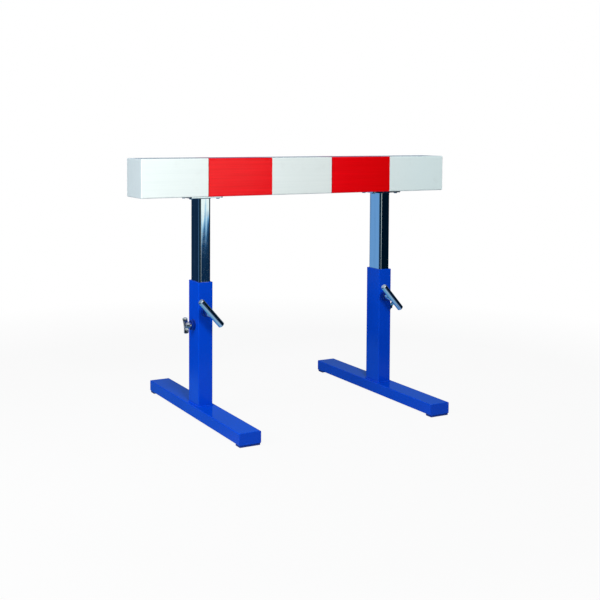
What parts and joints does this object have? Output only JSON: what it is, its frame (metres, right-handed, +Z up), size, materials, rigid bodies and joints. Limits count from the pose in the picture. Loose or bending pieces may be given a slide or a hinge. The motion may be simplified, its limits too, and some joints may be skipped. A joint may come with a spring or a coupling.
{
  "type": "adjustable steeplechase training barrier",
  "caption": "Square painted timber beam in red and white blocks on telescopic posts that clamp in sleeves welded to fore-and-aft feet; the beam height is adjustable.",
  "frame": {"origin": "on the ground, at the middle of the barrier's footprint", "axes": "+X along the beam to the right seen from the front, -Y towards the front where the clamp handles are, +Z up"},
  "size_m": [1.2, 0.72, 0.872],
  "materials": {
    "painted_timber": "satin lacquer in red and white blocks",
    "chrome_plate": "bright plated",
    "blue_paint": "gloss",
    "plate_steel": "zinc plated",
    "screw_steel": "zinc plated",
    "brass": "turned",
    "blue_plastic": "moulded",
    "blue_rubber": "matt"
  },
  "bodies": {
    "base": {"left_foot_tube": "blue_paint", "left_front_end_cap": "blue_plastic", "left_rear_end_cap": "blue_plastic", "left_front_foot_pad": "blue_rubber", "left_rear_foot_pad": "blue_rubber", "left_sleeve": "blue_paint", "left_clamp_boss": "blue_paint", "left_wing_boss": "blue_paint", "right_foot_tube": "blue_paint", "right_front_end_cap": "blue_plastic", "right_rear_end_cap": "blue_plastic", "right_front_foot_pad": "blue_rubber", "right_rear_foot_pad": "blue_rubber", "right_sleeve": "blue_paint", "right_clamp_boss": "blue_paint", "right_wing_boss": "blue_paint"},
    "upper_frame": {"beam": "painted_timber", "left_top_plate": "plate_steel", "left_plate_screw_1": "screw_steel", "left_plate_screw_2": "screw_steel", "left_plate_screw_3": "screw_steel", "left_plate_screw_4": "screw_steel", "left_inner_tube": "chrome_plate", "right_top_plate": "plate_steel", "right_plate_screw_1": "screw_steel", "right_plate_screw_2": "screw_steel", "right_plate_screw_3": "screw_steel", "right_plate_screw_4": "screw_steel", "right_inner_tube": "chrome_plate"},
    "left_clamp_tip_body": {"left_clamp_tip": "brass"},
    "left_clamp_screw_body": {"left_clamp_screw": "chrome_plate", "left_clamp_handle": "chrome_plate"},
    "left_wing_tip_body": {"left_wing_tip": "brass"},
    "left_wing_screw_body": {"left_wing_screw": "chrome_plate"},
    "right_clamp_tip_body": {"right_clamp_tip": "brass"},
    "right_clamp_screw_body": {"right_clamp_screw": "chrome_plate", "right_clamp_handle": "chrome_plate"},
    "right_wing_tip_body": {"right_wing_tip": "brass"},
    "right_wing_screw_body": {"right_wing_screw": "chrome_plate"}
  },
  "joints": [
    {"name": "height_slide", "type": "slide", "parent": "base", "child": "upper_frame", "axis": [0, 0, 1], "range_m": [-0.11, 0.042]},
    {"name": "left_clamp_travel", "type": "slide", "parent": "base", "child": "left_clamp_tip_body", "axis": [0, -1, 0], "range_m": [0, 0.008]},
    {"name": "left_clamp_turn", "type": "hinge", "parent": "left_clamp_tip_body", "child": "left_clamp_screw_body", "pos_m": [-0.362, -0.04, 0.363], "axis": [0, -1, 0], "range_deg": [0, 1440.1]},
    {"name": "left_wing_travel", "type": "slide", "parent": "base", "child": "left_wing_tip_body", "axis": [-1, 0, 0], "range_m": [0, 0.007]},
    {"name": "left_wing_turn", "type": "hinge", "parent": "left_wing_tip_body", "child": "left_wing_screw_body", "pos_m": [-0.388, 0, 0.313], "axis": [-1, 0, 0], "range_deg": [0, 1440.1]},
    {"name": "right_clamp_travel", "type": "slide", "parent": "base", "child": "right_clamp_tip_body", "axis": [0, -1, 0], "range_m": [0, 0.008]},
    {"name": "right_clamp_turn", "type": "hinge", "parent": "right_clamp_tip_body", "child": "right_clamp_screw_body", "pos_m": [0.362, -0.04, 0.363], "axis": [0, -1, 0], "range_deg": [0, 1440.1]},
    {"name": "right_wing_travel", "type": "slide", "parent": "base", "child": "right_wing_tip_body", "axis": [1, 0, 0], "range_m": [0, 0.007]},
    {"name": "right_wing_turn", "type": "hinge", "parent": "right_wing_tip_body", "child": "right_wing_screw_body", "pos_m": [0.388, 0, 0.313], "axis": [1, 0, 0], "range_deg": [0, 1440.1]}
  ],
  "couplings": [
    {"joint": "left_clamp_turn", "follows": "left_clamp_travel", "rad_per_m": 3141.6},
    {"joint": "left_wing_turn", "follows": "left_wing_travel", "rad_per_m": 3590.4},
    {"joint": "right_clamp_turn", "follows": "right_clamp_travel", "rad_per_m": 3141.6},
    {"joint": "right_wing_turn", "follows": "right_wing_travel", "rad_per_m": 3590.4}
  ]
}
